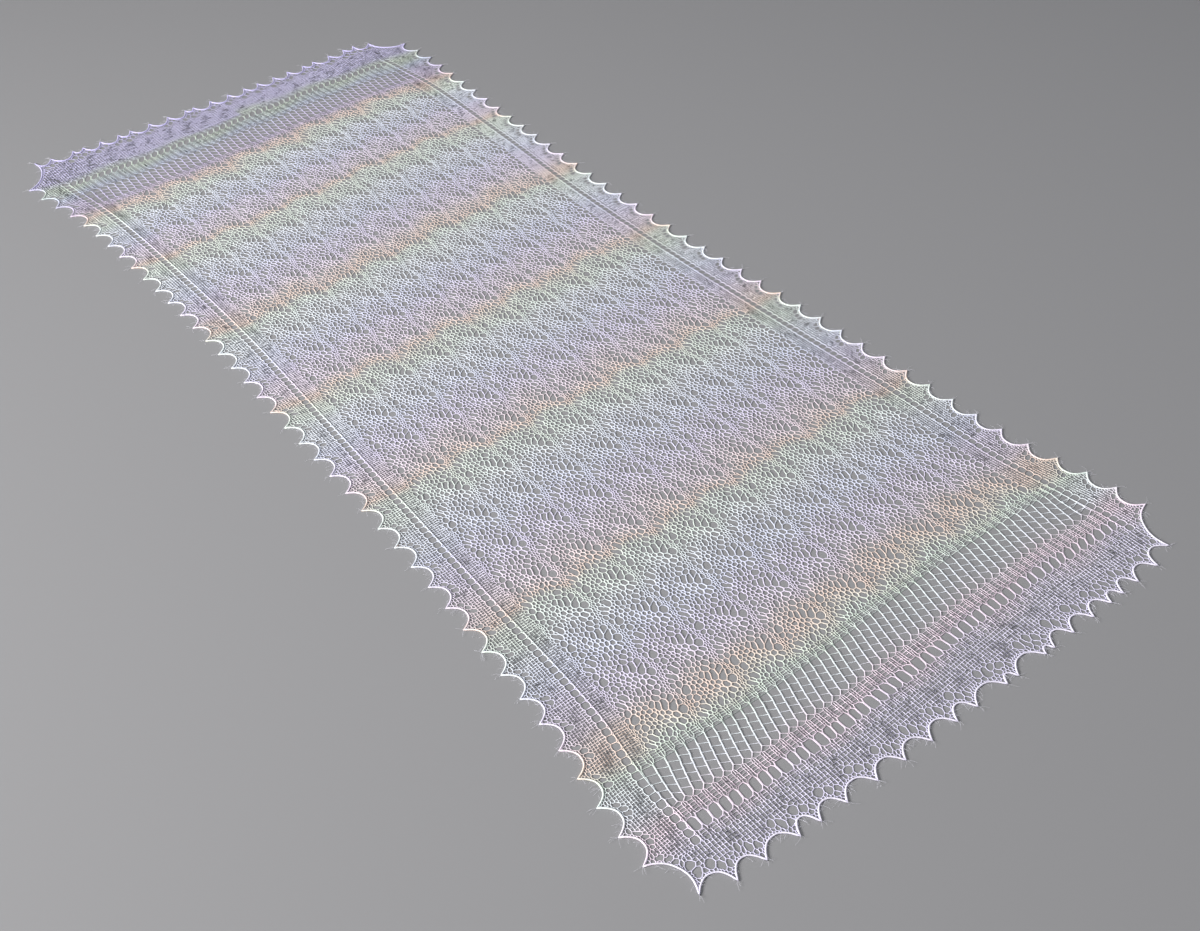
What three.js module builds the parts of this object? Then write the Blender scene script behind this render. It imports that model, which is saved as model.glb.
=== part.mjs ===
// A knitted lace stole, blocked and laid out flat.
//
// Millimetres, +Z up. The origin is the middle of the underside. X runs across the stole and Y along it, and the
// near end is at -Y. The stole is a leaf-lace centre, a net border with an eyelet row at each end, a ladder down
// each long side, and a pointed edging all round. Blocking has drawn the ends out wider than the waist.

import * as THREE from 'three';

// Driving sizes.
const CLOTH = 1.5; // thickness of the knit
const SEAM = 0.3; // gap where two pieces are grafted together
const LADDER = 10; // width of the ladder strip

// The middle of the finished stole, in the frame of the blocking board that the tables below are measured in.
const MIDDLE = { x: 6.116, y: 21.567 };

// The blocking: where the chain lines and the side points lie at each distance along the board.
const BLOCKING = [
  { v: -790, chainLeft: -290, chainRight: 316, tipLeft: -349, tipRight: 362 },
  { v: -690, chainLeft: -289.4, chainRight: 309.4, tipLeft: -346.4, tipRight: 358.5 },
  { v: -640, chainLeft: -288.5, chainRight: 302.5, tipLeft: -342.5, tipRight: 353 },
  { v: -548, chainLeft: -276, chainRight: 290, tipLeft: -329.5, tipRight: 337 },
  { v: -385, chainLeft: -272.4, chainRight: 285.8, tipLeft: -318.5, tipRight: 331.5 },
  { v: -190, chainLeft: -267.2, chainRight: 277, tipLeft: -310.5, tipRight: 325.5 },
  { v: 5, chainLeft: -262.9, chainRight: 269.8, tipLeft: -309.5, tipRight: 317.5 },
  { v: 200, chainLeft: -259, chainRight: 269.3, tipLeft: -306, tipRight: 316.5 },
  { v: 395, chainLeft: -263.3, chainRight: 277.5, tipLeft: -310, tipRight: 323 },
  { v: 590, chainLeft: -274.3, chainRight: 281.5, tipLeft: -321, tipRight: 332 },
  { v: 700, chainLeft: -290.2, chainRight: 272.4, tipLeft: -342, tipRight: 337.5 },
  { v: 770, chainLeft: -299, chainRight: 263, tipLeft: -348, tipRight: 330.5 },
];

// How far the rows lean and wave along Y.
const ROWS = [
  { v: -790, tilt: 0, wave: 5 },
  { v: -640, tilt: 0, wave: 5.5 },
  { v: -540, tilt: 0.5, wave: 6 },
  { v: -430, tilt: 4, wave: 1 },
  { v: -160, tilt: 1, wave: 0 },
  { v: 70, tilt: 9, wave: 0 },
  { v: 300, tilt: 14, wave: 2 },
  { v: 800, tilt: 12, wave: 3 },
];

// The rows where each end's net border starts, where its eyelets lie and where its edging starts.
const BORDER = {
  near: { net: -630, eyelets: -704, seam: -722 },
  far: { net: 640, eyelets: 716, seam: 729 },
};

// The points of the edging: the corner points, the side points and their hollows.
const CORNERS = {
  nearLeft: { x: -327, y: -760 },
  nearRight: { x: 326, y: -760 },
  farRight: { x: 283, y: 809 },
  farLeft: { x: -310, y: 798 },
};
const SIDE_POINTS = {
  left: { count: 41, near: -709, far: 727 },
  right: { count: 42, near: -706, far: 768 },
  depth: 14,
};

// The end points: the place of each between the corner points, and the line they reach to.
const NEAR_POINTS = {
  x: [-292, -259, -220, -195, -163, -125, -89, -54, -19, 9, 52, 68, 110, 123, 153, 185, 214, 234, 259, 293],
  reach: -770,
  bow: 5,
  lean: 0,
  depth: 15,
};
const FAR_POINTS = {
  x: [-286, -251, -235, -207, -177, -157, -125, -93, -62, -48, -18, 14, 44, 69, 99, 126, 156, 176, 207, 237, 257],
  reach: 808,
  bow: -7,
  lean: 14,
  depth: 17,
};

// A hollow's curve from tip to tip, and the most it deepens to as a share of its width.
const HOLLOW = { steps: [-0.84, -0.55, 0, 0.55, 0.84], power: 2.4, deepest: 0.6 };

// The leaf repeat of the centre: the place of its largest gap, and the gap's size.
const LEAF = { columns: 9, firstColumn: -0.753, columnPitch: 0.2125, rows: 22, firstRow: -596, rowPitch: 55 };
const LEAF_GAP = { width: 8.4, length: 14.5, lean: 0.42, corners: 6 };

// The eyelets of each net border.
const EYELET = { count: 51, width: 8.4, length: 10, lean: 0, corners: 6 };

// Spacing of the points along straight and gently curved edges.
const STEP_ALONG = 24;
const STEP_ACROSS = 1 / 8;

// Yarn colours, as an average of the stripes over each piece.
const FINISH = {
  centre: { color: 0xb9bbc9, roughness: 0.85, metalness: 0 },
  net: { color: 0xc4c6d2, roughness: 0.85, metalness: 0 },
  edging: { color: 0xbcb4d6, roughness: 0.85, metalness: 0 },
  ladder: { color: 0xc6cad2, roughness: 0.85, metalness: 0 },
};

// One column of a table at v, as a smooth curve through its rows.
function read(table, column, v) {
  const last = table.length - 1;
  const i = Math.max(0, Math.min(last - 1, table.findIndex((row) => row.v > v) - 1));
  const slope = (k) => {
    const a = table[Math.max(0, k - 1)];
    const b = table[Math.min(last, k + 1)];
    return (b[column] - a[column]) / (b.v - a.v);
  };
  const span = table[i + 1].v - table[i].v;
  const t = (v - table[i].v) / span;
  const from = table[i][column] * (1 + 2 * t) * (1 - t) ** 2 + slope(i) * span * t * (1 - t) ** 2;
  const to = table[i + 1][column] * (3 - 2 * t) * t ** 2 - slope(i + 1) * span * t ** 2 * (1 - t);
  return from + to;
}

// A point of the board in the finished stole's frame.
function place(x, y) {
  return new THREE.Vector2(x - MIDDLE.x, y - MIDDLE.y);
}

// How far a row is bent along Y, at a share u of the half width.
function bendAt(u, v) {
  return read(ROWS, 'tilt', v) * Math.sin((Math.PI / 2) * u) + read(ROWS, 'wave', v) * Math.sin(Math.PI * u);
}

// A point between the chain lines: u runs from -1 on the left one to 1 on the right one.
function centrePoint(u, v) {
  const left = read(BLOCKING, 'chainLeft', v);
  const right = read(BLOCKING, 'chainRight', v);
  return place(left + ((right - left) * (u + 1)) / 2, v + bendAt(u, v));
}

// A point outside a chain line: out is its distance from it, and side is -1 or 1.
function ladderPoint(side, out, v) {
  const chain = read(BLOCKING, side < 0 ? 'chainLeft' : 'chainRight', v);
  return place(chain + side * out, v + bendAt(side, v));
}

// The tip of a side point.
function sideTip(side, v) {
  return place(read(BLOCKING, side < 0 ? 'tipLeft' : 'tipRight', v), v);
}

// The tips of an end's points, from left to right.
function endTips({ x, reach, bow, lean }) {
  const outward = Math.sign(reach);
  return x.map((at) => {
    const share = at / 300;
    return place(at, reach + outward * bow * (1 - share ** 2) + lean * share);
  });
}

// The values from a to b, with every multiple of step between them.
function stations(a, b, step) {
  const values = [];
  for (let k = Math.ceil(Math.min(a, b) / step); k * step <= Math.max(a, b); k++) {
    const value = k * step;
    if (Math.abs(value - a) > step / 20 && Math.abs(value - b) > step / 20) values.push(value);
  }
  if (a > b) values.reverse();
  return [a, ...values, b];
}

// The curve of a hollow between two tips, with the stole on its left, at shares s from -1 to 1 of its span.
function hollow(from, to, depth, steps = HOLLOW.steps) {
  const along = to.clone().sub(from);
  const inward = new THREE.Vector2(-along.y, along.x).normalize();
  const dip = Math.min(depth, HOLLOW.deepest * along.length());
  return steps.map((s) => {
    const point = from.clone().addScaledVector(along, (1 + s) / 2);
    return point.addScaledVector(inward, dip * (1 - Math.abs(s) ** HOLLOW.power));
  });
}

// A run of points and the hollows between them.
function scallops(tips, depth) {
  const points = [tips[0]];
  for (let i = 1; i < tips.length; i++) {
    points.push(...hollow(tips[i - 1], tips[i], depth), tips[i]);
  }
  return points;
}

// A flat piece of knit with the given outline and gaps, both lists of points.
function knit(name, finish, outline, gaps = []) {
  const shape = new THREE.Shape(outline);
  shape.holes = gaps.map((gap) => new THREE.Path(gap));
  const solid = new THREE.ExtrudeGeometry(shape, { depth: CLOTH, bevelEnabled: false, steps: 1 });
  const mesh = new THREE.Mesh(solid, new THREE.MeshStandardMaterial(FINISH[finish]));
  mesh.name = name;
  return mesh;
}

// An oval gap round a point, leaning by a share of its height.
function oval(middle, { width, length, lean, corners }) {
  return Array.from({ length: corners }, (_, i) => {
    const turn = (2 * Math.PI * (i + 0.5)) / corners;
    const y = (length / 2) * Math.sin(turn);
    return new THREE.Vector2(middle.x + (width / 2) * Math.cos(turn) - lean * y, middle.y + y);
  });
}

// An area between the chain lines, from one row to another.
function centreOutline(v0, v1) {
  return [
    ...stations(-1, 1, STEP_ACROSS).map((u) => centrePoint(u, v0)),
    ...stations(v0, v1, STEP_ALONG).slice(1, -1).map((v) => centrePoint(1, v)),
    ...stations(1, -1, STEP_ACROSS).map((u) => centrePoint(u, v1)),
    ...stations(v1, v0, STEP_ALONG).slice(1, -1).map((v) => centrePoint(-1, v)),
  ];
}

// The leaf-lace centre, with the largest gap of each repeat cut through.
function centrePanel() {
  const gaps = [];
  for (let column = 0; column < LEAF.columns; column++) {
    for (let row = 0; row < LEAF.rows; row++) {
      const u = LEAF.firstColumn + column * LEAF.columnPitch;
      const v = LEAF.firstRow + row * LEAF.rowPitch;
      gaps.push(oval(centrePoint(u, v), LEAF_GAP));
    }
  }
  const outline = centreOutline(BORDER.near.net + SEAM / 2, BORDER.far.net - SEAM / 2);
  return knit('centre_panel', 'centre', outline, gaps);
}

// The net border from row v0 to row v1, with its eyelets cut through.
function netBorder(name, v0, v1, eyelets) {
  const gaps = [];
  for (let i = 1; i <= EYELET.count; i++) {
    gaps.push(oval(centrePoint((2 * i) / (EYELET.count + 1) - 1, eyelets), EYELET));
  }
  return knit(name, 'net', centreOutline(v0 + SEAM / 2, v1 - SEAM / 2), gaps);
}

// The ladder strip of one side (-1 left, 1 right).
function ladderStrip(name, side) {
  const near = BORDER.near.seam + SEAM / 2;
  const far = BORDER.far.seam - SEAM / 2;
  const inner = stations(near, far, STEP_ALONG).map((v) => ladderPoint(side, SEAM, v));
  const outer = stations(far, near, STEP_ALONG).map((v) => ladderPoint(side, LADDER, v));
  return knit(name, 'ladder', [...inner, ...outer]);
}

// The pointed edging of one long side, from its ladder to the tips, between two corner points.
function sideEdging(name, side, from, to) {
  const { depth } = SIDE_POINTS;
  const { count, near, far } = side < 0 ? SIDE_POINTS.left : SIDE_POINTS.right;
  const tips = Array.from({ length: count }, (_, i) => sideTip(side, near + ((far - near) * i) / (count - 1)));
  const ends = [BORDER.near.seam + SEAM, BORDER.far.seam - SEAM];
  if (side < 0) {
    tips.reverse();
    ends.reverse();
  }
  const start = hollow(from, tips[0], depth, HOLLOW.steps.filter((s) => s >= 0));
  const end = hollow(tips[count - 1], to, depth, HOLLOW.steps.filter((s) => s <= 0));
  const inner = stations(ends[1], ends[0], STEP_ALONG).map((v) => ladderPoint(side, LADDER + SEAM, v));
  return knit(name, 'edging', [...start, ...scallops(tips, depth), ...end, ...inner]);
}

// The pointed edging of one end with its two corner points. Its tips run with the stole on their left.
function endEdging(name, tips, before, after, { depth }, v) {
  const outward = Math.sign(v);
  const gap = new THREE.Vector2(0, outward * SEAM);
  const start = hollow(before, tips[0], SIDE_POINTS.depth, HOLLOW.steps.filter((s) => s >= 0));
  const end = hollow(tips[tips.length - 1], after, SIDE_POINTS.depth, HOLLOW.steps.filter((s) => s <= 0));
  start[0].add(gap);
  end[end.length - 1].add(gap);
  const seam = v + (outward * SEAM) / 2;
  const side = -outward;
  const inner = stations(side, -side, STEP_ACROSS).map((u) => centrePoint(u, seam));
  const ladderEnds = [ladderPoint(side, LADDER, seam), ladderPoint(-side, LADDER, seam)];
  return knit(name, 'edging', [...start, ...scallops(tips, depth), ...end, ladderEnds[0], ...inner, ladderEnds[1]]);
}

const corner = Object.fromEntries(Object.entries(CORNERS).map(([key, { x, y }]) => [key, place(x, y)]));
const nearTips = [corner.nearLeft, ...endTips(NEAR_POINTS), corner.nearRight];
const farTips = [corner.farRight, ...endTips(FAR_POINTS).reverse(), corner.farLeft];
const rightTips = [sideTip(1, SIDE_POINTS.right.near), sideTip(1, SIDE_POINTS.right.far)];
const leftTips = [sideTip(-1, SIDE_POINTS.left.far), sideTip(-1, SIDE_POINTS.left.near)];

const stole = new THREE.Group();
stole.add(
  centrePanel(),
  netBorder('net_border_near', BORDER.near.seam, BORDER.near.net, BORDER.near.eyelets),
  netBorder('net_border_far', BORDER.far.net, BORDER.far.seam, BORDER.far.eyelets),
  ladderStrip('ladder_left', -1),
  ladderStrip('ladder_right', 1),
  sideEdging('edging_left', -1, corner.farLeft, corner.nearLeft),
  sideEdging('edging_right', 1, corner.nearRight, corner.farRight),
  endEdging('edging_near', nearTips, leftTips[1], rightTips[0], NEAR_POINTS, BORDER.near.seam),
  endEdging('edging_far', farTips, rightTips[1], leftTips[0], FAR_POINTS, BORDER.far.seam),
);

export default stole;
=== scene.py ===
import math

import bmesh
import bpy
import numpy as np
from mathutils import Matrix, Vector
from mathutils.geometry import delaunay_2d_cdt


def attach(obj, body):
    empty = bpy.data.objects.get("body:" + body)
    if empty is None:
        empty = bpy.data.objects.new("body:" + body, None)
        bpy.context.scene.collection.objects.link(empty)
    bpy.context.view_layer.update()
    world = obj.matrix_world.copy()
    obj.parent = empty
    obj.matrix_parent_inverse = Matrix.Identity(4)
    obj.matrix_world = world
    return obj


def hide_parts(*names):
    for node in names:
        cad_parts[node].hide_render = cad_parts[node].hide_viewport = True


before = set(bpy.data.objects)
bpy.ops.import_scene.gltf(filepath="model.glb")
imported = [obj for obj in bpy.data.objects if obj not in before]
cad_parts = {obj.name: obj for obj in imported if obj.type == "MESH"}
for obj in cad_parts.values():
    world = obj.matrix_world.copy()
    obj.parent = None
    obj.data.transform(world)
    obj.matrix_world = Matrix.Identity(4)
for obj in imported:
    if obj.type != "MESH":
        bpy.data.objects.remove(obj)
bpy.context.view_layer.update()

# Camera
# A plain 42 mm lens off the near left corner, looking down along the stole. Its place comes from how the
# four corners of the stole lie in the photo.

camera = bpy.data.objects.new("camera", bpy.data.cameras.new("camera"))
camera.location = (-0.76413, -1.24654, 1.08362)
camera.rotation_euler = (math.radians(47.305), math.radians(1.5345), math.radians(-37.794))
camera.data.lens = 42.12
camera.data.sensor_width = 36
bpy.context.scene.collection.objects.link(camera)
bpy.context.scene.camera = camera

# Floor and light
# A plain light grey floor, so that the gaps of a nearly white yarn still show. A large soft window low
# across the stole gives each strand a lit side and a dark one, with a weak fill and a weak light from
# above.

floor_mesh = bpy.data.meshes.new("floor")
floor_bm = bmesh.new()
bmesh.ops.create_grid(floor_bm, x_segments=1, y_segments=1, size=6)
floor_bm.to_mesh(floor_mesh)
floor_bm.free()
floor = bpy.data.objects.new("floor", floor_mesh)
bpy.context.scene.collection.objects.link(floor)

floor_paint = bpy.data.materials.new("floor paint")
floor_paint.use_nodes = True
floor_shader = floor_paint.node_tree.nodes["Principled BSDF"]
floor_shader.inputs["Base Color"].default_value = (0.25, 0.25, 0.26, 1)
floor_shader.inputs["Roughness"].default_value = 0.9
floor_mesh.materials.append(floor_paint)

LIGHTS = [
    # name, place, size, watts, colour
    ("window", (-4.4, 0.5, 2.2), 1.8, 400, (1.0, 0.985, 0.96)),
    ("fill", (2.4, -1.4, 2.6), 2.6, 18, (0.93, 0.96, 1.0)),
    ("top", (0.0, 0.2, 3.2), 2.0, 34, (1.0, 1.0, 1.0)),
]
for name, place, size, watts, colour in LIGHTS:
    lamp = bpy.data.lights.new(name, "AREA")
    lamp.shape = "DISK"
    lamp.size = size
    lamp.energy = watts
    lamp.color = colour
    light = bpy.data.objects.new(name, lamp)
    light.location = place
    light.rotation_euler = (Vector((0, 0, 0)) - light.location).to_track_quat("-Z", "Y").to_euler()
    bpy.context.scene.collection.objects.link(light)

world = bpy.data.worlds.new("studio")
world.use_nodes = True
world.node_tree.nodes["Background"].inputs["Color"].default_value = (0.9, 0.93, 1.0, 1)
world.node_tree.nodes["Background"].inputs["Strength"].default_value = 0.13
bpy.context.scene.world = world
bpy.context.scene.view_settings.view_transform = "Standard"

# Centre
# The leaf lace in the middle of the stole, in laceweight mohair. It is knitted along the stole in a leaf
# repeat, nine leaves across and twenty-two up, with a garter margin down each side, and pinned out wide on
# a board.

# How the edges and rows lie on the board, in millimetres, as in the part. v runs along the board.
BLOCKING = {
    "v": [-790, -690, -640, -548, -385, -190, 5, 200, 395, 590, 700, 770],
    "chain_left": [-290, -289.4, -288.5, -276, -272.4, -267.2, -262.9, -259, -263.3, -274.3, -290.2, -299],
    "chain_right": [316, 309.4, 302.5, 290, 285.8, 277, 269.8, 269.3, 277.5, 281.5, 272.4, 263],
    "tip_left": [-349, -346.4, -342.5, -329.5, -318.5, -310.5, -309.5, -306, -310, -321, -342, -348],
    "tip_right": [362, 358.5, 353, 337, 331.5, 325.5, 317.5, 316.5, 323, 332, 337.5, 330.5],
}
ROWS = {
    "v": [-790, -640, -540, -430, -160, 70, 300, 800],
    "tilt": [0, 0, 0.5, 4, 1, 9, 14, 12],
    "wave": [5, 5.5, 6, 1, 0, 0, 2, 3],
}
NEAR = {"net": -630, "eyelets": -704, "seam": -722}
FAR = {"net": 640, "eyelets": 716, "seam": 729}


def read(table, column, v):
    """One column of a table at v, as a smooth curve through its rows."""
    at = np.array(table["v"], float)
    value = np.array(table[column], float)
    last = len(at) - 1
    before = np.clip(np.arange(last + 1) - 1, 0, last)
    after = np.clip(np.arange(last + 1) + 1, 0, last)
    slope = (value[after] - value[before]) / (at[after] - at[before])
    i = np.clip(np.searchsorted(at, v, side="right") - 1, 0, last - 1)
    span = at[i + 1] - at[i]
    t = (v - at[i]) / span
    start = value[i] * (1 + 2 * t) * (1 - t) ** 2 + slope[i] * span * t * (1 - t) ** 2
    end = value[i + 1] * (3 - 2 * t) * t**2 - slope[i + 1] * span * t**2 * (1 - t)
    return start + end


def bend(u, v):
    """How far a row is bent along the board at a share u of the half width."""
    return read(ROWS, "tilt", v) * np.sin(np.pi / 2 * u) + read(ROWS, "wave", v) * np.sin(np.pi * u)


def centre_point(u, v):
    """A point between the chain lines, with u from -1 on the left one to 1 on the right one."""
    left = read(BLOCKING, "chain_left", v)
    right = read(BLOCKING, "chain_right", v)
    return np.stack([left + (right - left) * (u + 1) / 2, v + bend(u, v)], -1)


# Every gap of the knit, small or large, is one stitch here: its middle, its half width, half the thickness
# of the strand round it, its course for the colour, the piece it is knitted into, and the gap it opens
# into, if any.
random = np.random.default_rng(11)
stitches = []
gap_count = 0


def lay(piece, middles, half_width, strand, courses, gaps=None, plain=False, narrow=1.0, lean=0.0):
    """Lays stitches for a piece. Those with the same gap number open into one gap. Plain ones stand in
    straight columns. narrow and lean thicken a gap's sides and slant them."""
    count = len(middles)
    stitches.append(
        {
            "middle": np.asarray(middles, float).reshape(count, 2),
            "half_width": np.broadcast_to(half_width, count).astype(float),
            "strand": np.broadcast_to(strand, count).astype(float),
            "course": np.broadcast_to(courses, count).astype(float),
            "gap": np.full(count, -1) if gaps is None else np.asarray(gaps),
            "piece": np.array([piece] * count) if isinstance(piece, str) else np.asarray(piece),
            "plain": np.full(count, plain),
            "narrow": np.full(count, float(narrow)),
            "lean": np.full(count, float(lean)),
        }
    )


def grid(columns, rows):
    """The places where columns and rows cross."""
    a, b = np.meshgrid(columns, rows)
    return a.ravel(), b.ravel()


# The leaf repeat. Each leaf has a spine of close stitches, a fan of slanted gaps to its left and, half a
# repeat away, another to its right.
LEAF = {"width": 58.5, "height": 55.0, "first_u": -0.753, "pitch_u": 0.2125, "first_v": -596, "rise": 9.0}
LEAF_GAPS = [
    # x, y, half width, and how far and which way the gap is drawn out
    (0.5, 0.0, 5.0, 0.0, 0.0),
    (1.6, 8.0, 2.9, 0.0, 0.0),
    (-4.3, 8.4, 3.0, 4.4, 4.9),
    (-3.7, 17.0, 2.6, 1.8, 3.4),
    (-10.5, 14.2, 3.0, 3.2, 6.0),
    (-16.2, 17.0, 2.5, 2.0, 4.4),
    (-21.2, 21.4, 2.2, 0.8, 2.8),
    (-7.0, -11.6, 4.3, -0.8, 1.6),
    (-10.4, -24.6, 4.1, -0.4, 1.6),
    (6.7, -27.1, 5.5, 0.0, 0.0),
    (6.2, -17.0, 3.2, 0.0, 0.0),
    (13.0, -18.6, 2.9, 3.6, -4.9),
    (18.4, -11.4, 3.0, 3.2, -6.4),
    (24.4, -8.2, 2.3, 1.2, -4.4),
    (11.4, -8.4, 2.5, 0.0, 0.0),
    (15.2, 15.2, 4.5, -0.4, 1.4),
    (18.6, 2.6, 3.5, -0.4, 2.2),
    (-25.4, -23.8, 3.0, 0.4, 1.6),
    (-23.0, -14.6, 2.8, 1.0, 3.0),
    (-17.6, -8.2, 2.2, 1.2, 0.0),
    (-20.6, -2.2, 2.1, 1.2, 0.0),
    (-23.2, 3.4, 2.1, 1.2, 0.0),
    (-25.8, 9.2, 2.1, 1.2, 0.0),
    (-27.6, 15.4, 2.1, 1.2, 0.0),
]
GAP_EASE = 1.08  # how much the gaps open when the stole is pinned out
SPINE = {"stitches": 13, "x": 4.0, "sway": 2.9, "apart": 2.6, "half_width": 1.25, "strand": 0.38}
MESH = {"wales": 11, "rows": 12, "half_width": 2.35, "spread": 0.12, "off_gaps": 0.7}
SETTLE = {"turns": 60, "slack": 0.2, "ease": 1.05, "share": 0.25, "most": 1.0}
STRETCH = np.array([1.1, 1 / 1.1])  # stitches are longer than wide by this much each way
LEAF_STRAND = {"single": 0.45, "doubled": 0.36, "reach": 2.6, "narrow": 0.93}
LEAF_WANDER = {"mesh": 0.2, "gaps": 0.6}  # in millimetres, and for the gaps as a share of the mesh's
DOUBLED = [
    # the ends of each line along which the yarn lies doubled
    ((-30.4, 17.3), (-26.8, 6.5)),
    ((-26.8, 6.5), (-21.2, -4.6)),
    ((-21.2, -4.6), (-11.9, -5.8)),
    ((-11.9, -5.8), (-2.6, -12.0)),
    ((-21.6, 12.8), (-15.6, 4.2)),
    ((-15.6, 4.2), (-2.0, -4.8)),
    ((21.1, -19.5), (12.6, -31.5)),
    ((22.0, 19.0), (33.6, 31.0)),
    ((5.0, 27.0), (5.0, 12.0)),
]

spots, widths, opens = [], [], []
for number, (x, y, half_width, dx, dy) in enumerate(LEAF_GAPS):
    drawn_out = dx != 0 or dy != 0
    for share in (-0.5, 0.5) if drawn_out else (0,):
        spots.append((x + dx * share, y + dy * share))
        widths.append(half_width * GAP_EASE)
        opens.append(number if drawn_out else -1)
for k in range(SPINE["stitches"]):
    y = (k / SPINE["stitches"] - 0.5) * LEAF["height"]
    x = SPINE["x"] + SPINE["sway"] * math.cos(2 * math.pi * y / LEAF["height"])
    for offset in (0, SPINE["apart"]):
        spots.append((x + offset, y))
        widths.append(SPINE["half_width"])
        opens.append(-1)

# The mesh between them runs in waving wales, pushed aside by the gaps. The repeat meets itself on all
# sides.
repeat = np.array([LEAF["width"], LEAF["height"]])
charted = len(spots)
spots = np.array(spots)
widths = np.array(widths)
wale, row = grid(np.arange(MESH["wales"]), np.arange(MESH["rows"]))
y = ((row + wale % 2 / 2) / MESH["rows"] - 0.5) * LEAF["height"]
sway = SPINE["sway"] * np.cos(2 * math.pi * y / LEAF["height"])
x = ((wale + 0.5) / MESH["wales"] - 0.5) * LEAF["width"] + sway
mesh_spots = np.stack([x, y], -1)
apart = mesh_spots[:, None] - spots[None]
apart -= np.round(apart / repeat) * repeat
mesh_spots = mesh_spots[(np.linalg.norm(apart, axis=2) - widths).min(1) > MESH["off_gaps"]]
mesh_widths = MESH["half_width"] * np.exp(random.normal(0, MESH["spread"], len(mesh_spots)))
spots = np.concatenate([spots, mesh_spots])
widths = np.concatenate([widths, mesh_widths])
opens = np.array(opens + [-1] * len(mesh_spots))
for _ in range(SETTLE["turns"]):
    apart = spots[:, None] - spots[None]
    apart -= np.round(apart / repeat) * repeat
    apart *= STRETCH
    distance = np.hypot(apart[..., 0], apart[..., 1]) + 1e-6
    overlap = (widths[:, None] + widths[None] + SETTLE["slack"]) * SETTLE["ease"] - distance
    overlap = np.clip(overlap, 0, None)
    np.fill_diagonal(overlap, 0)
    push = (apart / distance[..., None] * overlap[..., None]).sum(1) * SETTLE["share"] / STRETCH
    spots[charted:] += np.clip(push[charted:], -SETTLE["most"], SETTLE["most"])
spots[charted:] = (spots[charted:] + repeat / 2) % repeat - repeat / 2


def near_line(points, a, b):
    """The distance of points from the line between a and b."""
    a, b = np.array(a), np.array(b)
    along = np.clip(((points - a) @ (b - a)) / ((b - a) @ (b - a)), 0, 1)
    return np.linalg.norm(points - a - along[:, None] * (b - a), axis=1)


nearness = [np.exp(-((near_line(spots, a, b) / LEAF_STRAND["reach"]) ** 2)) for a, b in DOUBLED]
leaf_strand = LEAF_STRAND["single"] + LEAF_STRAND["doubled"] * np.max(nearness, axis=0)
leaf_strand[widths == SPINE["half_width"]] = SPINE["strand"]

# The leaves fill the field between the margins. The centre is made in five stretches, parted at these rows.
STRETCHES = [NEAR["net"], -376, -122, 132, 386, FAR["net"]]
FIELD = {"left": -0.945, "right": 0.935, "near": -618, "far": 632}


def stretch_names(v):
    """The stretch of the centre that each row belongs to."""
    return np.array([f"centre_{k + 1}" for k in np.clip(np.searchsorted(STRETCHES, v) - 1, 0, 4)])


for column in range(-1, 10):
    for row in range(-1, 23):
        wander = random.normal(0, LEAF_WANDER["mesh"], spots.shape)
        wander[:charted] *= LEAF_WANDER["gaps"]
        x, y = (spots + wander).T
        u = LEAF["first_u"] + LEAF["pitch_u"] * (column + x / LEAF["width"])
        v = LEAF["first_v"] + LEAF["height"] * row + y
        keep = (u > FIELD["left"]) & (u < FIELD["right"]) & (v > FIELD["near"]) & (v < FIELD["far"])
        # Each row of the leaf rises between the spines, and its colour with it.
        rise = LEAF["rise"] * np.abs(np.sin(math.pi * (x - SPINE["x"]) / LEAF["width"]))
        gaps = np.where(opens >= 0, opens + gap_count, -1)
        gap_count += len(LEAF_GAPS)
        lay(
            stretch_names(v)[keep],
            centre_point(u, v)[keep],
            widths[keep],
            leaf_strand[keep],
            (v - rise)[keep],
            gaps[keep],
            narrow=LEAF_STRAND["narrow"],
        )

# The plain garter margin down each side of the leaves, in close ridges.
MARGIN = {
    "across": 3.3,
    "along": 3.1,
    "first": 1.5,
    "half_width": 1.6,
    "strand": 0.5,
    "narrow": 1.16,
    "wander": 0.06,
}
margin_step = MARGIN["across"] / 275  # the mean half width of the centre
for side, inner in ((-1, -FIELD["left"]), (1, FIELD["right"])):
    rows = np.arange(FIELD["near"] + MARGIN["first"], FIELD["far"], MARGIN["along"])
    u, v = grid(np.arange(1 - margin_step / 2, inner, -margin_step), rows)
    middles = centre_point(side * u, v) + random.normal(0, MARGIN["wander"], (len(u), 2))
    names = stretch_names(v)
    lay(names, middles, MARGIN["half_width"], MARGIN["strand"], v, plain=True, narrow=MARGIN["narrow"])

# Net borders
# A band at each end in the same yarn: open net on stout slanted strands, plain rows, a row of eyelets and
# more plain rows. It is knitted on from the centre, and its strands run on through the plain rows as close
# bundles.

HOLES_ACROSS = 52
RUNG_DROP = np.array([1.3, 4.6])  # from one strand of the net to the next
NET = {"half_width": 4.8, "strand": 0.44, "narrow": 0.92, "fade": 12}
EYELET = {"half_width": 5.0, "strand": 0.42, "narrow": 0.88}
PLAIN = {"width": 11.5, "strand": 0.4, "wander": 0.08}
BUNDLE = [
    # place in the pitch from one gap to the next, half width, in shares of the pitch
    (0.11, 0.11),
    (0.50, 0.28),
    (0.89, 0.11),
]
NETS = [
    # piece, direction, net rows, height, slant of the strands, row height of the bundles in the centre,
    # plain rows (from, to, row height)
    ("net_near", -1, 5, 9.6, 0.33, 3.2, [(-678.0, -698.6, 3.4), (-709.4, -722.0, 3.2)]),
    ("net_far", 1, 4, 10.2, 0.2, 3.0, [(681.0, 710.6, 3.2), (721.4, 729.0, 3.4)]),
]
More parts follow.
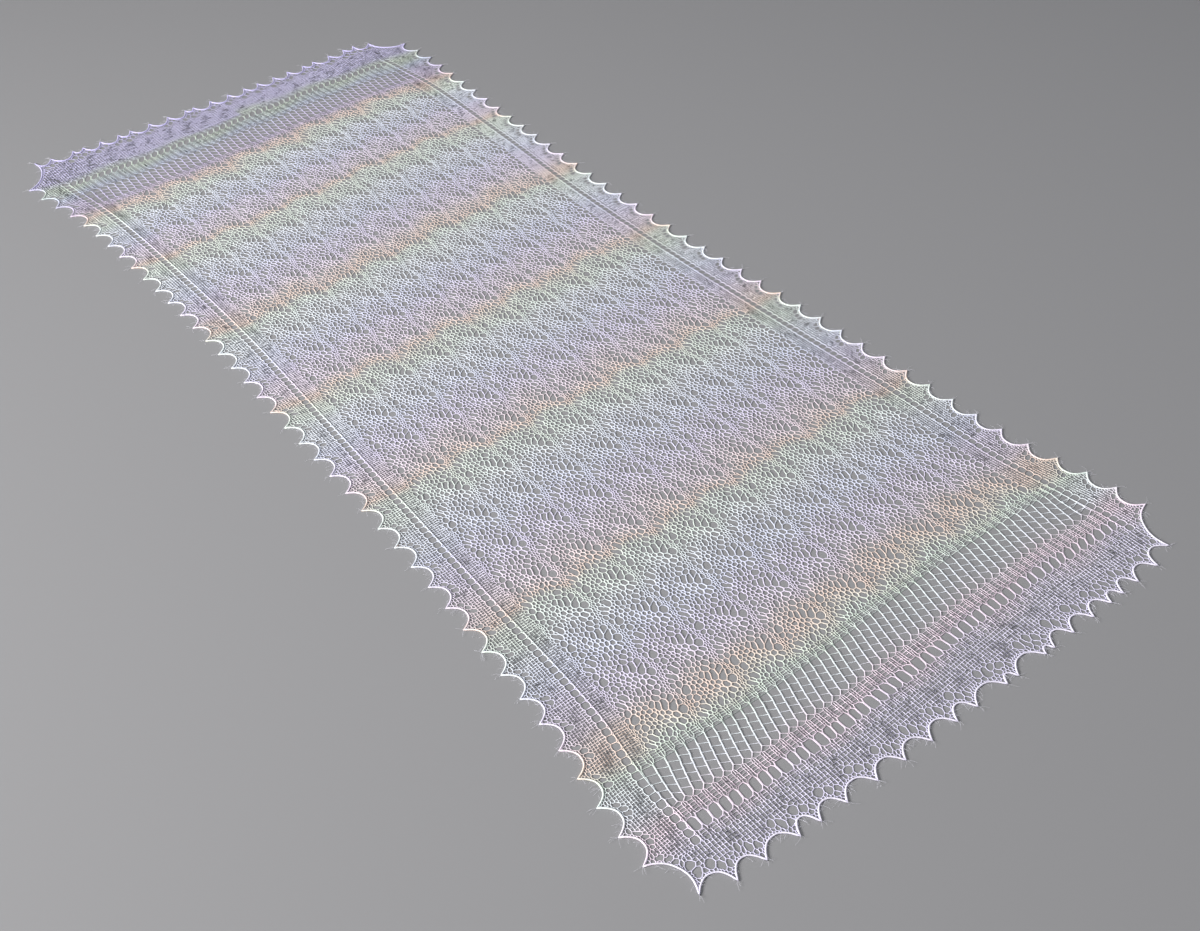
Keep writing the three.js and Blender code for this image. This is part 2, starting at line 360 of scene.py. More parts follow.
for piece, way, rows, height, slant, fan_height, plain_rows in NETS:
    end, beside, edge = (NEAR, "centre_1", FIELD["near"]) if way < 0 else (FAR, "centre_5", FIELD["far"])
    pitch = 2 / HOLES_ACROSS
    u = -1 + (np.arange(HOLES_ACROSS) + 0.5) * pitch
    fade = np.clip(NET["fade"] * (1 - np.abs(u)), 0, 1)
    for row in range(rows):
        v = np.full(HOLES_ACROSS, end["net"] + way * height * (row + 0.5))
        middles = centre_point(u, v)
        middles[:, 0] += slant * height * way * (row - (rows - 1) / 2) * fade
        lay(piece, middles, NET["half_width"], NET["strand"], v, plain=True, narrow=NET["narrow"], lean=slant)
    bands = plain_rows + [(edge, end["net"], fan_height)]
    for place_in_band, (start, stop, row_height) in enumerate(bands):
        fan = place_in_band == len(plain_rows)
        for place, share in BUNDLE:
            columns = -1 + (np.arange(HOLES_ACROSS) + place) * pitch
            levels = np.linspace(start, stop, max(2, round(abs(stop - start) / row_height)) * 2 + 1)[1::2]
            if share < 0.2:  # the outer bundles are drawn together next to the large gaps
                levels = levels[:-1] if fan else levels[1:-1] if place_in_band == 0 else levels[1:]
            columns, v = grid(columns, levels)
            middles = centre_point(columns, v)
            if fan:
                fade = np.clip(NET["fade"] * (1 - np.abs(columns)), 0, 1)
                middles[:, 0] -= slant * height * way * (rows - 1) / 2 * fade
            middles += random.normal(0, PLAIN["wander"], (len(v), 2))
            lay(beside if fan else piece, middles, share * PLAIN["width"], PLAIN["strand"], v, plain=True)
    v = np.full(len(u), end["eyelets"])
    lay(piece, centre_point(u, v), EYELET["half_width"], EYELET["strand"], v, narrow=EYELET["narrow"])

# Ladders
# A strip of open bars of bare yarn beside each chain line, as dropped stitches leave them. It is knitted in
# one with the garter on both its sides.

LADDER = {"width": 10, "bar": 9.4, "half_width": 4.6, "strand": 0.44, "narrow": 0.97, "seam": 0.15}


def ladder_point(side, out, v):
    """A point at a distance out of a chain line, with side -1 or 1."""
    chain = read(BLOCKING, "chain_left" if side < 0 else "chain_right", v)
    return np.stack([chain + side * out, v + bend(side, v)], -1)


for side, piece in ((-1, "ladder_bars_left"), (1, "ladder_bars_right")):
    v = np.arange(NEAR["seam"] + LADDER["bar"] / 2, FAR["seam"], LADDER["bar"])
    middles = ladder_point(side, LADDER["width"] / 2 + LADDER["seam"], v)
    lay(piece, middles, LADDER["half_width"], LADDER["strand"], v, plain=True, narrow=LADDER["narrow"])

# Edgings
# A pointed garter edging in the same yarn, knitted on all round and grafted at the corners. Each point has
# a loop at its tip and slanted gaps beside it, and it is pinned out at the tip, where the part has it.

CORNERS = {
    "near left": np.array([-327, -760]),
    "near right": np.array([326, -760]),
    "far right": np.array([283, 809]),
    "far left": np.array([-310, 798]),
}
SIDE_POINTS = {"left": (41, -709, 727), "right": (42, -706, 768), "depth": 14}
NEAR_POINTS = {
    "x": (
        [-292, -259, -220, -195, -163, -125, -89, -54, -19, 9]
        + [52, 68, 110, 123, 153, 185, 214, 234, 259, 293]
    ),
    "reach": -770,
    "bow": 5,
    "lean": 0,
    "depth": 15,
}
FAR_POINTS = {
    "x": (
        [-286, -251, -235, -207, -177, -157, -125, -93, -62, -48, -18]
        + [14, 44, 69, 99, 126, 156, 176, 207, 237, 257]
    ),
    "reach": 808,
    "bow": -7,
    "lean": 14,
    "depth": 17,
}
# The hollow's curve from tip to tip. Its deepest is a share of its width.
HOLLOW = {"steps": 24, "power": 2.4, "deepest": 0.6}
END_HALF_WIDTH = 300


def side_tip(side, v):
    """The tip of a side point."""
    return np.stack([read(BLOCKING, "tip_left" if side < 0 else "tip_right", v), v], -1)


def end_tips(points):
    """The tips of an end's points, from left to right."""
    x = np.array(points["x"], float)
    share = x / END_HALF_WIDTH
    out = np.sign(points["reach"])
    return np.stack([x, points["reach"] + out * points["bow"] * (1 - share**2) + points["lean"] * share], -1)


left_v = np.linspace(*SIDE_POINTS["left"][1:], SIDE_POINTS["left"][0])
right_v = np.linspace(*SIDE_POINTS["right"][1:], SIDE_POINTS["right"][0])
runs = [
    # tips in order round the stole with the stole on the left, the depth of the hollow before each, the edge
    (CORNERS["near left"][None], SIDE_POINTS["depth"], "near"),
    (end_tips(NEAR_POINTS), NEAR_POINTS["depth"], "near"),
    (CORNERS["near right"][None], NEAR_POINTS["depth"], "near"),
    (side_tip(1, right_v), SIDE_POINTS["depth"], "right"),
    (CORNERS["far right"][None], SIDE_POINTS["depth"], "far"),
    (end_tips(FAR_POINTS)[::-1], FAR_POINTS["depth"], "far"),
    (CORNERS["far left"][None], FAR_POINTS["depth"], "far"),
    (side_tip(-1, left_v[::-1]), SIDE_POINTS["depth"], "left"),
]
tips = np.concatenate([run[0] for run in runs]).astype(float)
depths = np.concatenate([[run[1]] * len(run[0]) for run in runs])
edges = np.concatenate([[run[2]] * len(run[0]) for run in runs])

outline = []
for k, tip in enumerate(tips):
    following = (k + 1) % len(tips)
    along = tips[following] - tip
    length = np.linalg.norm(along)
    inward = np.array([-along[1], along[0]]) / length
    dip = min(depths[following], HOLLOW["deepest"] * length)
    s = np.linspace(-1, 1, HOLLOW["steps"] + 1)[:-1]
    sag = dip * (1 - np.abs(s) ** HOLLOW["power"])
    outline.append(tip + along * ((1 + s) / 2)[:, None] + inward * sag[:, None])
outline = np.concatenate(outline)

# The edge stitches run in a line just inside the outline. The bare stitches outside it hold their outer
# strands.
EDGE = {"apart": 2.7, "in": 1.4, "half_width": 1.45, "strand": 0.42, "outer_strand": 0.5}
closed = np.vstack([outline, outline[:1]])
travelled = np.concatenate([[0], np.cumsum(np.linalg.norm(np.diff(closed, axis=0), axis=1))])
places = np.arange(0, travelled[-1], EDGE["apart"])
rim = np.stack([np.interp(places, travelled, closed[:, axis]) for axis in (0, 1)], -1)
heading = np.roll(rim, -1, 0) - np.roll(rim, 1, 0)
heading /= np.linalg.norm(heading, axis=1)[:, None]
inside = np.stack([-heading[:, 1], heading[:, 0]], -1)


def clear_of(points, others, gap):
    """Which points are farther than gap from all the others."""
    kept = np.ones(len(points), bool)
    for start in range(0, len(points), 2000):
        block = points[start : start + 2000]
        squared_distance = ((block[:, None] - others[None]) ** 2).sum(-1)
        kept[start : start + 2000] = squared_distance.min(1) > gap**2
    return kept


def within(points, loop):
    """Which points lie inside a closed loop."""
    result = np.zeros(len(points), bool)
    for a, b in zip(loop, np.roll(loop, -1, 0)):
        crosses = (a[1] > points[:, 1]) != (b[1] > points[:, 1])
        if crosses.any():
            x = a[0] + (points[:, 1] - a[1]) * (b[0] - a[0]) / (b[1] - a[1] if b[1] != a[1] else 1)
            result ^= crosses & (points[:, 0] < x)
    return result


# Gaps of each point. On the sides they curve away from the tip towards the near end, and on the ends to one
# side.
SIDE_GAPS = [
    # in from the tip, along from it, half width, and how far it is drawn out inwards and along
    (4.8, 0.8, 1.5, 2.2, 0.4),
    (14.6, 5.6, 2.3, 3.4, 1.4),
    (18.6, 12.0, 2.5, 3.4, 1.4),
    (20.6, 19.0, 2.6, 3.0, 1.6),
]
END_GAPS = [
    (4.6, 0.0, 1.4, 2.0, 0.0),
    (25.4, 12.4, 4.6, 0.0, 0.0),
    (20.5, 4.0, 3.5, 2.4, 1.8),
    (16.0, -3.6, 2.9, 2.4, 1.8),
]
gap_middles, gap_widths, gap_numbers = [], [], []
for k, tip in enumerate(tips):
    ahead = tips[(k + 1) % len(tips)] - tips[k - 1]
    ahead /= np.linalg.norm(ahead)
    inward = np.array([-ahead[1], ahead[0]])
    # The gaps of a point lie towards the near end or the left, whichever way the outline runs there.
    onward = {"left": ahead, "right": -ahead, "near": -ahead, "far": ahead}[edges[k]]
    point_gaps = SIDE_GAPS if edges[k] in ("left", "right") else END_GAPS
    for depth, along, half_width, drawn_in, drawn_along in point_gaps:
        for share in (-0.5, 0, 0.5) if drawn_in else (0,):
            spot = tip + inward * (depth + drawn_in * share)
            gap_middles.append(spot + onward * (along + drawn_along * share))
            gap_widths.append(half_width)
            gap_numbers.append(gap_count if drawn_in else -1)
        gap_count += 1
gap_middles = np.array(gap_middles)
gap_widths = np.array(gap_widths)
gap_numbers = np.array(gap_numbers)

# The strip that the edging fills: outside the ladders and the seams of the ends.
CLEARANCE = {"edge": 2.5, "outline": 2.6, "core": 1.5, "gaps": 1.5, "edge_to_gaps": 2.2, "rim_to_gaps": 2.0}
seam_u = np.linspace(-1, 1, 41)
ladder_v = np.linspace(NEAR["seam"], FAR["seam"], 160)
core = np.concatenate(
    [
        centre_point(seam_u, np.full(41, NEAR["seam"])),
        ladder_point(1, LADDER["width"], ladder_v),
        centre_point(-seam_u, np.full(41, FAR["seam"])),
        ladder_point(-1, LADDER["width"], ladder_v[::-1]),
    ]
)
keep = clear_of(gap_middles, rim, CLEARANCE["rim_to_gaps"])
keep &= within(gap_middles, outline) & ~within(gap_middles, core)
gap_middles, gap_widths, gap_numbers = gap_middles[keep], gap_widths[keep], gap_numbers[keep]

# The garter between the gaps, in rows that follow the ladders on the sides and the seams at the ends.
GARTER = {
    "first": 1.9,
    "across": 3.3,
    "along": 3.2,
    "deepest": 62,
    "half_width": 1.75,
    "strand": 0.44,
    "wander": 0.08,
}
END_GARTER = {"first": 2.4, "along": 4.3, "spill": 1.25, "columns": 3, "near": -70, "far": 90}
columns = np.arange(LADDER["width"] + GARTER["first"], GARTER["deepest"], GARTER["across"])
out, v = grid(columns, np.arange(NEAR["seam"], FAR["seam"], GARTER["along"]))
courses = [ladder_point(-1, out, v), ladder_point(1, out, v)]
step = 2 / HOLES_ACROSS / END_GARTER["columns"]
columns = np.arange(-END_GARTER["spill"], END_GARTER["spill"] + 0.01, step)
for seam, reach in ((NEAR["seam"], END_GARTER["near"]), (FAR["seam"], END_GARTER["far"])):
    u, v = grid(columns, np.arange(END_GARTER["first"], abs(reach), END_GARTER["along"]) * np.sign(reach))
    course = centre_point(u, np.full(len(u), float(seam)))
    courses.append(course + np.stack([np.zeros(len(v)), v], -1))
field = np.concatenate(courses)
field = field[within(field, outline)]
field = field[~within(field, core)]
field = field[clear_of(field, rim + inside * EDGE["in"], CLEARANCE["edge"])]
field = field[clear_of(field, closed, CLEARANCE["outline"])]
core_closed = np.vstack([core, core[:1]])
core_line = np.concatenate([np.linspace(a, b, 6)[:-1] for a, b in zip(core_closed[:-1], core_closed[1:])])
field = field[clear_of(field, core_line, CLEARANCE["core"])]
for half_width in np.unique(gap_widths):
    same = gap_middles[gap_widths == half_width]
    field = field[clear_of(field, same, half_width + CLEARANCE["gaps"])]
field += random.normal(0, GARTER["wander"], field.shape)

edge_stitches = rim + inside * EDGE["in"]
edge_stitches = edge_stitches[clear_of(edge_stitches, gap_middles, CLEARANCE["edge_to_gaps"])]


PARTING = {"row": 5, "in": 4, "past": 700}  # of the edgings


def edging_piece(points):
    """The edging that each point belongs to, parted at the corners from the ladder's end to the outline."""
    far_half = points[:, 1] > PARTING["row"]
    names = np.where(points[:, 0] < 0, "points_left_1", "points_right_1")
    names = np.where(far_half & (points[:, 0] < 0), "points_left_2", names)
    names = np.where(far_half & (points[:, 0] > 0), "points_right_2", names)
    for name, side, v, corner, last_v in (
        ("points_near", -1, NEAR["seam"], "near left", left_v[0]),
        ("points_near", 1, NEAR["seam"], "near right", right_v[0]),
        ("points_far", -1, FAR["seam"], "far left", left_v[-1]),
        ("points_far", 1, FAR["seam"], "far right", right_v[-1]),
    ):
        root = ladder_point(side, LADDER["width"], np.array(float(v)))
        tip = (CORNERS[corner] + side_tip(side, np.array(float(last_v)))) / 2
        slope = (tip[1] - root[1]) / (tip[0] - root[0])
        line = root[1] + slope * np.clip((points[:, 0] - root[0]) * side, 0, None) * side
        between = points[:, 0] * side < root[0] * side - PARTING["in"]
        past = points[:, 1] * np.sign(v) > PARTING["past"]
        beyond = np.where(between, past, (points[:, 1] - line) * np.sign(v) > 0)
        names = np.where(beyond & (points[:, 0] * side >= 0), name, names)
    return names


def edging_course(points):
    """The course of the colour at each point: along the sides it keeps pace with the centre."""
    side = np.where(points[:, 0] < 0, -1.0, 1.0)
    return points[:, 1] - bend(side, np.clip(points[:, 1], -780, 790))


course = edging_course(edge_stitches)
lay(edging_piece(edge_stitches), edge_stitches, EDGE["half_width"], EDGE["strand"], course)
course = edging_course(field)
lay(edging_piece(field), field, GARTER["half_width"], GARTER["strand"], course, plain=True)
course = edging_course(gap_middles)
lay(edging_piece(gap_middles), gap_middles, gap_widths, EDGE["strand"], course, gap_numbers)
lay("none", rim - inside * EDGE["in"], EDGE["half_width"], EDGE["outer_strand"], 0)

# The strands
# One yarn is knitted through the whole stole, so its strands are one net of walls between the stitches, and
# neighbouring pieces meet in a common strand. A join is where the strands round three stitches come
# together.

LONGEST_SIDE = 18  # of a triangle of neighbouring stitches; longer ones lie outside the stole
SQUARE_REACH = 0.45  # how far a square join may lie from the plain one, as a share of the triangle
LIKE = 0.01  # the most by which like stitches differ in half width
PULL = {"rounds": 2, "share": 0.45}
HEIGHT = {"mean": 0.00112, "wave": 0.0002, "wander": 0.00009}
MIDDLE = np.array([6.116, 21.567])  # of the finished stole, on the blocking board

middle = np.concatenate([s["middle"] for s in stitches])
half_width = np.concatenate([s["half_width"] for s in stitches])
strand = np.concatenate([s["strand"] for s in stitches])
course = np.concatenate([s["course"] for s in stitches])
gap = np.concatenate([s["gap"] for s in stitches])
piece = np.concatenate([s["piece"] for s in stitches])
plain = np.concatenate([s["plain"] for s in stitches])
narrow = np.concatenate([s["narrow"] for s in stitches])
lean = np.concatenate([s["lean"] for s in stitches])

_, _, triangles, origins, _, _ = delaunay_2d_cdt([Vector(p) for p in middle * STRETCH], [], [], 0, 1e-6)
first = np.array([origin[0] for origin in origins])
triangles = first[np.array(triangles)]
corners = middle[triangles]
longest = np.linalg.norm(corners - np.roll(corners, -1, 1), axis=2).max(1)
triangles = triangles[longest < LONGEST_SIDE]
weight = 1 / half_width[triangles]
joins = (middle[triangles] * weight[..., None]).sum(1) / weight.sum(1)[:, None]
join_course = (course[triangles] * weight).sum(1) / weight.sum(1)

# Among plain stitches the strands cross squarely, where circles round the stitches have their common chord.
a, b, c = (middle[triangles[:, k]] for k in range(3))
size_a, size_b, size_c = (half_width[triangles[:, k]] ** 2 for k in range(3))
right_b = ((b**2).sum(1) - (a**2).sum(1) - size_b + size_a) / 2
right_c = ((c**2).sum(1) - (a**2).sum(1) - size_c + size_a) / 2
(bx, by), (cx, cy) = (b - a).T, (c - a).T
spread = bx * cy - by * cx
spread[spread == 0] = 1
square = np.stack([right_b * cy - right_c * by, bx * right_c - cx * right_b], -1) / spread[:, None]
sides = np.stack([np.linalg.norm(p - q, axis=1) for p, q in ((a, b), (b, c), (c, a))], -1)
halves = np.stack([(a + b) / 2, (b + c) / 2, (c + a) / 2], 1)
all_plain = plain[triangles].all(1)
squared = all_plain & (np.abs(square - joins).max(1) < SQUARE_REACH * sides.max(1))
joins = np.where(squared[:, None], square, joins)

# Among like stitches the join is halfway between the two that stand corner to corner.
alike = all_plain & (np.ptp(half_width[triangles], axis=1) < LIKE)
halfway = halves[np.arange(len(halves)), sides.argmax(1)]
# The rungs of the net run down from each strand to the next on its right.
netted = alike & (lean[triangles].min(1) > 0)
left_side = (a + b + c)[:, 0] / 3 < halfway[:, 0]
halfway[netted] += np.where(left_side[netted, None], -RUNG_DROP, RUNG_DROP) / 2
joins = np.where(alike[:, None], halfway, joins)
squared |= alike

# Each other join is drawn a little towards its neighbours, as pulled yarn is.
loop = np.where(gap >= 0, gap + len(middle), np.arange(len(middle)))
ends = np.sort(triangles[:, [[1, 2], [2, 0], [0, 1]]].reshape(-1, 2), axis=1)
owner = np.repeat(np.arange(len(triangles)), 3)
order = np.lexsort((ends[:, 1], ends[:, 0]))
ends, owner = ends[order], owner[order]
twin = np.all(ends[1:] == ends[:-1], axis=1) & (loop[ends[1:, 0]] != loop[ends[1:, 1]])
left, right = owner[:-1][twin], owner[1:][twin]
for _ in range(PULL["rounds"]):
    total = np.zeros_like(joins)
    count = np.zeros(len(joins))
    for here, there in ((left, right), (right, left)):
        np.add.at(total, here, joins[there])
        np.add.at(count, here, 1)
    free = (count[:, None] > 1) & ~squared[:, None]
    drawn = (1 - PULL["share"]) * joins + PULL["share"] * total / np.maximum(count, 1)[:, None]
    joins = np.where(free, drawn, joins)

# The joins round each stitch, in order by their angle.
key = loop[triangles].ravel()
join = np.repeat(np.arange(len(triangles)), 3)
key, join = np.unique(np.stack([key, join], -1), axis=0).T
keys, starts, counts = np.unique(key, return_index=True, return_counts=True)
at = np.searchsorted(keys, key)
centre = np.stack([np.bincount(at, joins[join, axis]) / counts for axis in (0, 1)], -1)
spoke = joins[join] - centre[at]
join = join[np.lexsort((np.arctan2(spoke[:, 1], spoke[:, 0]), key))]
loop_piece = dict(zip(loop, piece))
loop_strand = dict(zip(loop, strand))
loop_shape = dict(zip(loop, zip(narrow, lean)))

place = (joins - MIDDLE) / 1000
height = HEIGHT["mean"] + HEIGHT["wave"] * np.sin(joins[:, 0] / 5.1 + 1.3 * np.sin(joins[:, 1] / 7.7))
height += random.normal(0, HEIGHT["wander"], len(joins))

# Yarn
# Laceweight mohair, spun from brushed fibre and dyed in slow stripes of pale blue, lilac, peach and sage,
# with painted shade darkening the stripes over the far end. It is matt, with a soft bright edge.

PEACH_ROWS = [-593, -395, -164, 45, 248, 447, 602]
CYCLE = [
    # share of the way from one peach stripe to the next, and the colour there
    (0.0, (0.87, 0.70, 0.62)),
    (0.06, (0.86, 0.73, 0.72)),
    (0.13, (0.84, 0.74, 0.84)),
    (0.32, (0.78, 0.73, 0.92)),
    (0.52, (0.75, 0.78, 0.95)),
    (0.74, (0.82, 0.87, 0.93)),
    (0.86, (0.77, 0.85, 0.80)),
    (0.93, (0.78, 0.83, 0.76)),
]
END_ROWS = [
    # millimetres along the stole, and the colour there. From 614 on, the stripe colours are painted about a
    # quarter darker, as painted shade over the far end.
    (-790, (0.76, 0.72, 0.95)),
    (-722, (0.80, 0.77, 0.95)),
    (-698, (0.89, 0.74, 0.85)),
    (-684, (0.89, 0.77, 0.87)),
    (-655, (0.82, 0.86, 0.94)),
    (-622, (0.77, 0.87, 0.78)),
    (614, (0.76, 0.62, 0.62)),
    (632, (0.70, 0.60, 0.75)),
    (650, (0.62, 0.56, 0.76)),
    (690, (0.56, 0.61, 0.75)),
    (712, (0.61, 0.69, 0.60)),
    (738, (0.58, 0.55, 0.80)),
    (830, (0.60, 0.56, 0.86)),
]
stripes = list(END_ROWS)
for start, stop in zip(PEACH_ROWS, PEACH_ROWS[1:]):
    stripes += [(start + share * (stop - start), tone) for share, tone in CYCLE]
stripes.append((PEACH_ROWS[-1], CYCLE[0][1]))
stripes.sort()
stripe_at = np.array([row[0] for row in stripes], float)
stripe_colour = np.array([row[1] for row in stripes])


def dyed_and_shaded(rows):
    """The colour of the yarn at each row: its dye, with painted shade darkening it over the far end."""
    return np.stack([np.interp(rows, stripe_at, stripe_colour[:, channel]) for channel in range(3)], -1)


yarn = bpy.data.materials.new("laceweight mohair yarn")
yarn.use_nodes = True
nodes = yarn.node_tree.nodes
links = yarn.node_tree.links
shader = nodes["Principled BSDF"]
shader.inputs["Roughness"].default_value = 0.75
shader.inputs["Sheen Weight"].default_value = 0.08
shader.inputs["Sheen Roughness"].default_value = 0.45
shader.inputs["Specular IOR Level"].default_value = 0.15
# The yarn's colour is its dye, with painted shade over the far end, made a little lighter and darker at
# random in small flecks.
dye_and_shade_colour = nodes.new("ShaderNodeAttribute")
dye_and_shade_colour.attribute_name = "dye_and_shade"
where = nodes.new("ShaderNodeTexCoord")
fleck = nodes.new("ShaderNodeTexNoise")
fleck.inputs["Scale"].default_value = 420
fleck.inputs["Detail"].default_value = 2
links.new(where.outputs["Object"], fleck.inputs["Vector"])
light_and_dark = nodes.new("ShaderNodeMapRange")
light_and_dark.inputs["From Min"].default_value = 0.3
light_and_dark.inputs["From Max"].default_value = 0.7
light_and_dark.inputs["To Min"].default_value = 0.82
light_and_dark.inputs["To Max"].default_value = 1.14
links.new(fleck.outputs["Fac"], light_and_dark.inputs["Value"])
shade = nodes.new("ShaderNodeVectorMath")
shade.operation = "SCALE"
links.new(dye_and_shade_colour.outputs["Color"], shade.inputs[0])
links.new(light_and_dark.outputs["Result"], shade.inputs["Scale"])
links.new(shade.outputs["Vector"], shader.inputs["Base Color"])
fibre = nodes.new("ShaderNodeTexNoise")
fibre.inputs["Scale"].default_value = 1900
fibre.inputs["Detail"].default_value = 2
links.new(where.outputs["Object"], fibre.inputs["Vector"])
bump = nodes.new("ShaderNodeBump")
bump.inputs["Strength"].default_value = 0.35
bump.inputs["Distance"].default_value = 0.0003
links.new(fibre.outputs["Fac"], bump.inputs["Height"])
links.new(bump.outputs["Normal"], shader.inputs["Normal"])

# The knitted pieces
# The centre, the net borders, the ladders and the edgings as they are knitted, each made of the strands
# round its own stitches. A strand is high along its middle and low at its edges, as a round yarn is.

PIECES = [
    # name, the solid that it replaces, slot, and the width and length that it is knitted to, in metres
    ("centre_1", "centre_panel", "centre_yarn", 0.568, 0.254),
    ("centre_2", "centre_panel", "centre_yarn", 0.549, 0.254),
    ("centre_3", "centre_panel", "centre_yarn", 0.533, 0.254),
    ("centre_4", "centre_panel", "centre_yarn", 0.532, 0.254),
    ("centre_5", "centre_panel", "centre_yarn", 0.549, 0.254),
    ("net_near", "net_border_near", "net_yarn", 0.597, 0.092),
    ("net_far", "net_border_far", "net_yarn", 0.560, 0.089),
    ("ladder_bars_left", "ladder_left", "ladder_yarn", 0.010, 1.452),
    ("ladder_bars_right", "ladder_right", "ladder_yarn", 0.010, 1.452),
    ("points_left_1", "edging_left", "edging_yarn", 0.045, 0.735),
    ("points_left_2", "edging_left", "edging_yarn", 0.045, 0.755),
    ("points_right_1", "edging_right", "edging_yarn", 0.045, 0.735),
    ("points_right_2", "edging_right", "edging_yarn", 0.045, 0.755),
    ("points_near", "edging_near", "edging_yarn", 0.650, 0.050),
    ("points_far", "edging_far", "edging_yarn", 0.590, 0.080),
]
STRANDS = [0.38, 0.44, 0.5, 0.6, 0.76]  # half thicknesses that strands are rounded to, in millimetres
STRAND_DEPTH = 0.0005  # from the middle of a strand down to its edge
LOWEST = 0.0001
LEAST_SHARE = 0.3  # of a sheet's flat size that its strands are counted as
WANDER = {"reach": 5, "along": 9.0, "across": 19, "bend": 2, "bend_along": 31}  # of the stripes


def in_yarn(name, bm, tones):
    """The finished object of a piece, with its dye and painted shade, its own map and the yarn on it."""
    dye_and_shade = bm.verts.layers.float_color.new("dye_and_shade")
    own_map = bm.loops.layers.uv.new("OFBake")
    for vert, tone in zip(bm.verts, tones):
        vert[dye_and_shade] = (*tone, 1)
    for face in bm.faces:
        for corner in face.loops:
            corner[own_map].uv = (corner.vert.co.x + 0.5, corner.vert.co.y / 2 + 0.5)
    mesh = bpy.data.meshes.new(name)
    bm.to_mesh(mesh)
    bm.free()
    mesh.materials.append(yarn)
    piece = bpy.data.objects.new(name, mesh)
    bpy.context.scene.collection.objects.link(piece)
    return piece


for name, node, slot, width, length in PIECES:
    corners, sizes, shapes = [], [], []
    for k, start, count in zip(keys, starts, counts):
        if loop_piece[k] == name and count > 2:
            corners.append(join[start : start + count])
            sizes.append(int(np.argmin([abs(s - loop_strand[k]) for s in STRANDS])))
            shapes.append(loop_shape[k])
    used, renamed = np.unique(np.concatenate(corners), return_inverse=True)

    # A face for each stitch, then an inset that leaves its strands, and the stitch itself is opened.
    bm = bmesh.new()
    course_layer = bm.verts.layers.float.new("course")
    points = [bm.verts.new((*place[j], height[j])) for j in used]
    for point, j in zip(points, used):
        point[course_layer] = join_course[j]
    gaps_by_strand = [[] for _ in STRANDS]
    shaped = []
    at = 0
    for loop_corners, size, shape in zip(corners, sizes, shapes):
        face = bm.faces.new([points[i] for i in renamed[at : at + len(loop_corners)]])
        face.smooth = True
        gaps_by_strand[size].append(face)
        if shape[0] != 1:
            shaped.append((face, shape))
        at += len(loop_corners)
    bm.normal_update()
    for size, faces in zip(STRANDS, gaps_by_strand):
        if faces:
            bmesh.ops.inset_individual(
                bm, faces=faces, thickness=size / 1000, depth=-STRAND_DEPTH, use_even_offset=False
            )
    for face, (share, slant) in shaped:
        mid = face.calc_center_median()
        for vert in face.verts:
            line = mid.x + slant * (vert.co.y - mid.y)
            vert.co.x = line + (vert.co.x - line) * share
    open_faces = [face for faces in gaps_by_strand for face in faces]
    bmesh.ops.delete(bm, geom=open_faces, context="FACES_ONLY")
    for vert in bm.verts:
        vert.co.z = max(vert.co.z, LOWEST)

    # The stripes wander a little along the rows and across them.
    rows = np.array([vert[course_layer] for vert in bm.verts])
    across = np.array([vert.co.x for vert in bm.verts]) * 1000
    bends = across / WANDER["across"] + WANDER["bend"] * np.sin(rows / WANDER["bend_along"])
    rows = rows + WANDER["reach"] * (np.sin(rows / WANDER["along"]) + np.sin(bends))
    flat = width * length
    area = sum(face.calc_area() for face in bm.faces)
    area = min(max(area, LEAST_SHARE * flat), flat)
    knit = in_yarn(name, bm, dyed_and_shaded(rows))
    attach(knit, "root")
    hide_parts(node)

# Rim and chain yarns
# The edging is cast off in a doubled strand of the yarn, drawn sharp at each tip where it was pinned. A
# slipped chain of single yarn runs down each side, between the margin and the ladder.

CORDS = [
    # name, slot, path in millimetres, whether it closes, half thickness, how light its yarn is
    ("rim", "edging_yarn", outline, True, 0.95, 1.08),
    ("chain_left", "ladder_yarn", ladder_point(-1, 0.2, ladder_v), False, 0.36, 0.95),
    ("chain_right", "ladder_yarn", ladder_point(1, 0.2, ladder_v), False, 0.36, 0.95),
]
YARN_HEIGHT = 0.0009


def drawn_yarn(curve):
    """The mesh of a curve of yarn, with its faces outward."""
    line = bpy.data.objects.new(curve.name + "_path", curve)
    bpy.context.scene.collection.objects.link(line)
    mesh = bpy.data.meshes.new_from_object(line.evaluated_get(bpy.context.evaluated_depsgraph_get()))
    bpy.data.objects.remove(line)
    bm = bmesh.new()
    bm.from_mesh(mesh)
    bpy.data.meshes.remove(mesh)
    bmesh.ops.recalc_face_normals(bm, faces=bm.faces)
    return bm


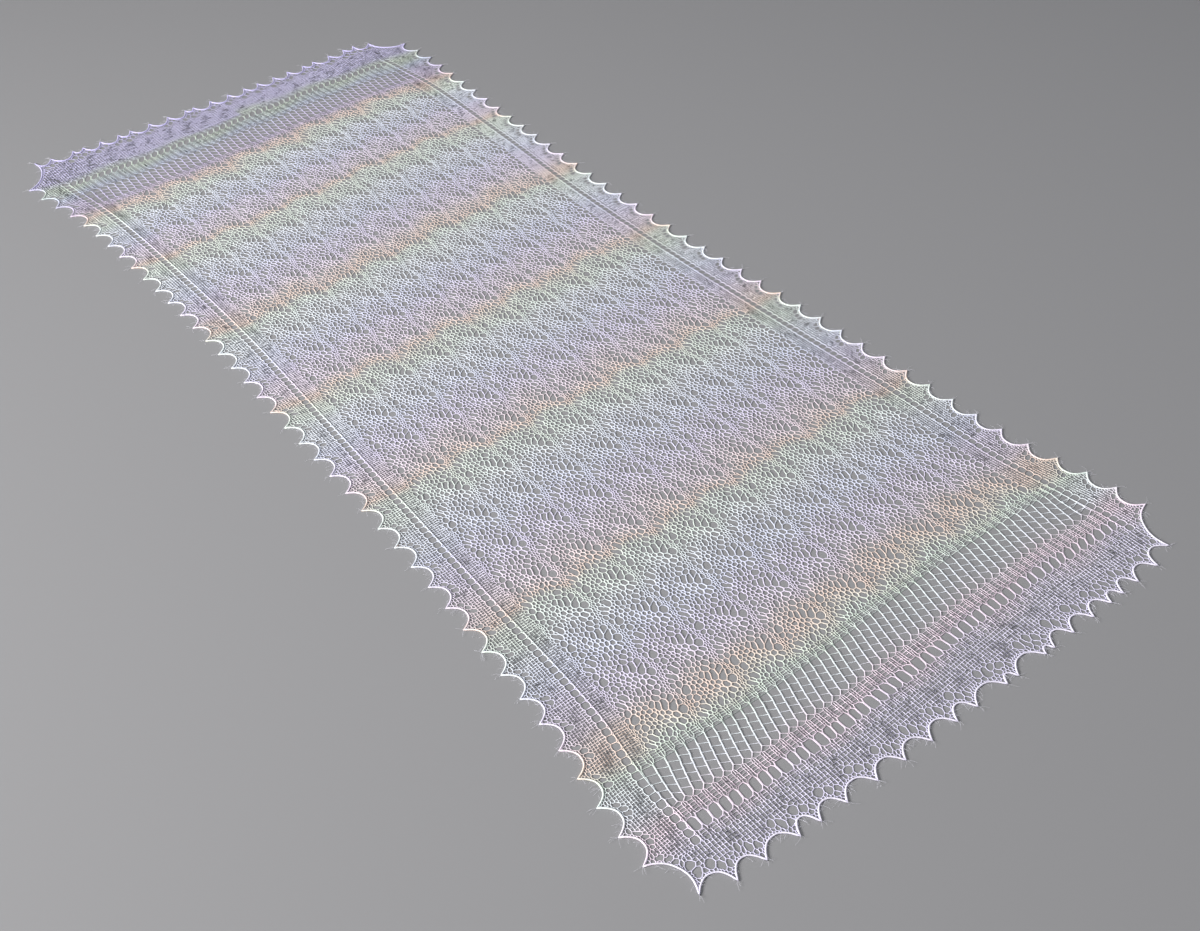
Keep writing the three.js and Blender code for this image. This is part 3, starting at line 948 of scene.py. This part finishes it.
for name, slot, path, closes, half, lightness in CORDS:
    curve = bpy.data.curves.new(name, "CURVE")
    curve.dimensions = "3D"
    curve.bevel_depth = half / 1000
    curve.bevel_resolution = 1
    curve.use_fill_caps = not closes
    line = curve.splines.new("POLY")
    line.points.add(len(path) - 1)
    for point, (x, y) in zip(line.points, (path - MIDDLE) / 1000):
        point.co = (x, y, YARN_HEIGHT, 1)
    line.use_cyclic_u = closes
    bm = drawn_yarn(curve)
    for face in bm.faces:
        face.smooth = True
    board = np.array([vert.co.xy for vert in bm.verts]) * 1000 + MIDDLE
    cord = in_yarn(name, bm, np.minimum(dyed_and_shaded(edging_course(board)) * lightness, 0.95))
    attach(cord, "root")

# Halo
# The fine fibres that were brushed up from the mohair and stand off the rim, thickest at the tips of the
# points. They are part of the yarn, and each is a hair that curls a little to one side.

FIBRES = {
    "per_point": 7,
    "at_tip": 3,
    "half": 0.00006,
    "shortest": 3,
    "longest": 11,
    "splay": 1.2,
    "curl": 0.5,
    "steps": 4,
    "lift": 0.0012,
}
FIBRE_COLOUR = (0.85, 0.84, 0.95)

halo = bpy.data.curves.new("halo", "CURVE")
halo.dimensions = "3D"
halo.bevel_depth = FIBRES["half"]
halo.bevel_resolution = 0
roots = random.integers(0, len(outline), FIBRES["per_point"] * len(tips))
roots = np.concatenate([roots, np.repeat(np.arange(len(tips)) * HOLLOW["steps"], FIBRES["at_tip"])])
outward = np.roll(outline, 1, 0) - np.roll(outline, -1, 0)
outward = np.stack([-outward[:, 1], outward[:, 0]], -1) / np.linalg.norm(outward, axis=1)[:, None]
for root in roots:
    length = random.uniform(FIBRES["shortest"], FIBRES["longest"])
    splay = random.uniform(-FIBRES["splay"], FIBRES["splay"])
    curl = random.uniform(-FIBRES["curl"], FIBRES["curl"])
    heading = outward[root] + splay * np.array([-outward[root][1], outward[root][0]])
    heading /= np.linalg.norm(heading)
    aside = np.array([-heading[1], heading[0]])
    hair = halo.splines.new("POLY")
    hair.points.add(FIBRES["steps"])
    for k, point in enumerate(hair.points):
        share = k / FIBRES["steps"]
        x, y = (outline[root] + heading * length * share + aside * length * curl * share**2 - MIDDLE) / 1000
        point.co = (x, y, YARN_HEIGHT + FIBRES["lift"] * math.sin(3 * share), 1)
bm = drawn_yarn(halo)
fibres = in_yarn("halo", bm, [FIBRE_COLOUR] * len(bm.verts))
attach(fibres, "root")
